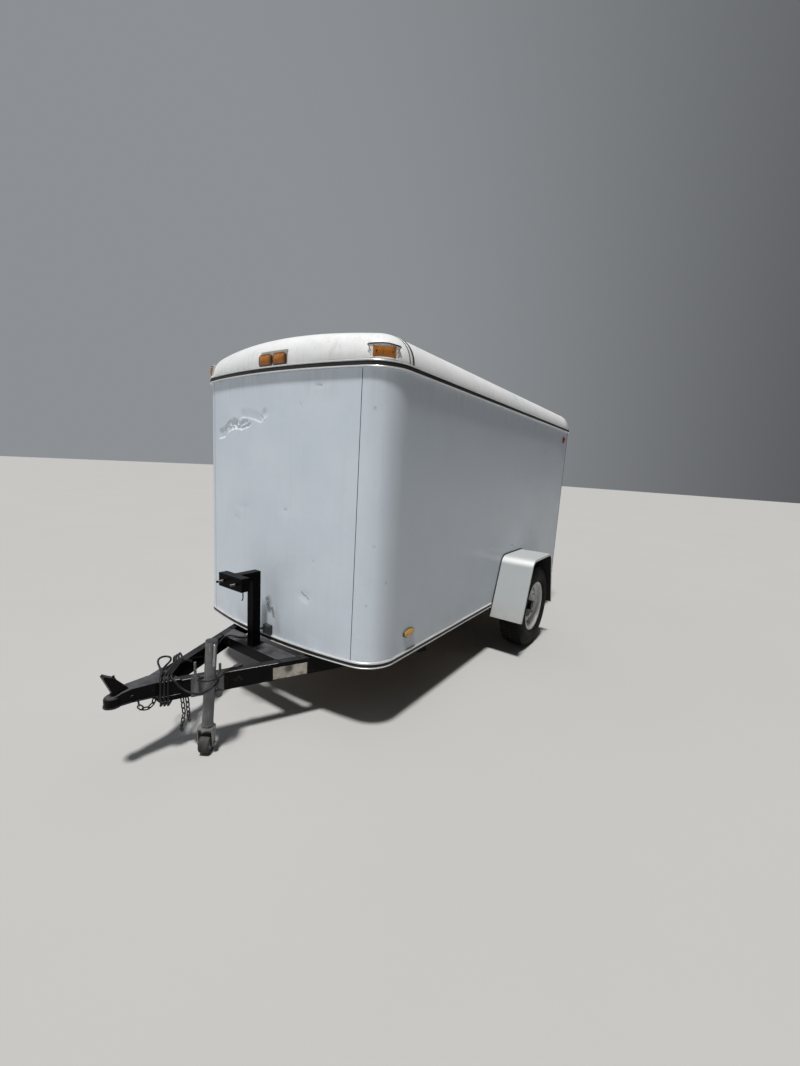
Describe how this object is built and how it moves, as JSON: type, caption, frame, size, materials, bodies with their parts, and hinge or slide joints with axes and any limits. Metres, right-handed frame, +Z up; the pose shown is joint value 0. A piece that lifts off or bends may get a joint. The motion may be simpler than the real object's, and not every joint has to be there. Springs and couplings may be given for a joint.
{
  "type": "enclosed cargo trailer",
  "caption": "Single-axle enclosed cargo trailer with bowed front, A-frame tongue with ball coupler and jack, rear double doors and side door.",
  "frame": {"origin": "on the ground under the centre of the overall box, half way between the coupler's nose and the rear lock handles", "axes": "-Y forward along the tongue, +X the trailer's left side, +Z up"},
  "size_m": [2.05, 4.172, 2.108],
  "materials": {
    "skin_white": "satin",
    "roof_white": "satin",
    "trim_aluminium": "satin",
    "frame_black": "satin",
    "steel_bare": "weathered",
    "floor_wood": "matte",
    "tyre_rubber": "matte",
    "rim_white": "gloss",
    "lens_amber": "gloss",
    "lens_red": "gloss",
    "plastic_black": "matte",
    "rubber_black": "matte"
  },
  "bodies": {
    "chassis": {"amber_lamps": "lens_amber", "axle": "frame_black", "bottom_trim": "trim_aluminium", "cable_plug": "plastic_black", "coupler": "frame_black", "coupler_latch": "frame_black", "fender_left": "skin_white", "fender_right": "skin_white", "floor_panel": "floor_wood", "frame_crossmembers": "frame_black", "frame_rails": "frame_black", "front_panel": "skin_white", "jack_crank": "steel_bare", "jack_mount": "steel_bare", "jack_tube": "steel_bare", "junction_box": "plastic_black", "leaf_springs": "frame_black", "plate_bracket": "frame_black", "rear_frame": "skin_white", "rear_hinges": "steel_bare", "red_lamps": "lens_red", "roof_cove_left": "roof_white", "roof_cove_right": "roof_white", "roof_front_cap": "roof_white", "roof_panel": "roof_white", "roof_trim": "trim_aluminium", "safety_chains": "steel_bare", "side_hinges": "steel_bare", "side_wall_left": "skin_white", "side_wall_right": "skin_white", "spare_bracket": "frame_black", "spring_hangers": "frame_black", "tongue_crossmember": "frame_black", "tongue_rail_left": "frame_black", "tongue_rail_right": "frame_black", "trailer_cable": "rubber_black"},
    "wheel_left": {"tyre_left": "tyre_rubber", "rim_left": "rim_white", "hub_left": "steel_bare"},
    "wheel_right": {"tyre_right": "tyre_rubber", "rim_right": "rim_white", "hub_right": "steel_bare"},
    "rear_door_left": {"rear_door_left": "skin_white", "lock_bar_left": "steel_bare"},
    "rear_door_right": {"rear_door_right": "skin_white", "lock_bar_right": "steel_bare"},
    "side_door": {"side_door": "skin_white", "side_door_latch": "steel_bare"},
    "jack_leg": {"jack_leg": "steel_bare"},
    "jack_wheel": {"jack_wheel": "rubber_black"}
  },
  "joints": [
    {"name": "wheel_left_spin", "type": "hinge", "parent": "chassis", "child": "wheel_left", "pos_m": [0.903, 0.732, 0.344], "axis": [1, 0, 0], "continuous": true},
    {"name": "wheel_right_spin", "type": "hinge", "parent": "chassis", "child": "wheel_right", "pos_m": [-0.903, 0.732, 0.344], "axis": [1, 0, 0], "continuous": true},
    {"name": "rear_door_left_hinge", "type": "hinge", "parent": "chassis", "child": "rear_door_left", "pos_m": [0.745, 2.062, 1.165], "axis": [0, 0, -1], "range_deg": [0, 225]},
    {"name": "rear_door_right_hinge", "type": "hinge", "parent": "chassis", "child": "rear_door_right", "pos_m": [-0.745, 2.062, 1.165], "axis": [0, 0, 1], "range_deg": [0, 225]},
    {"name": "side_door_hinge", "type": "hinge", "parent": "chassis", "child": "side_door", "pos_m": [-0.773, -0.752, 1.145], "axis": [0, 0, 1], "range_deg": [0, 170]},
    {"name": "jack_leg_slide", "type": "slide", "parent": "chassis", "child": "jack_leg", "axis": [0.0224, 0.0476, 0.9986], "range_m": [-0.25, 0]},
    {"name": "jack_wheel_spin", "type": "hinge", "parent": "jack_leg", "child": "jack_wheel", "pos_m": [0.19885, -1.72657, 0.046], "axis": [0.8229, 0.5682, 0], "continuous": true}
  ]
}
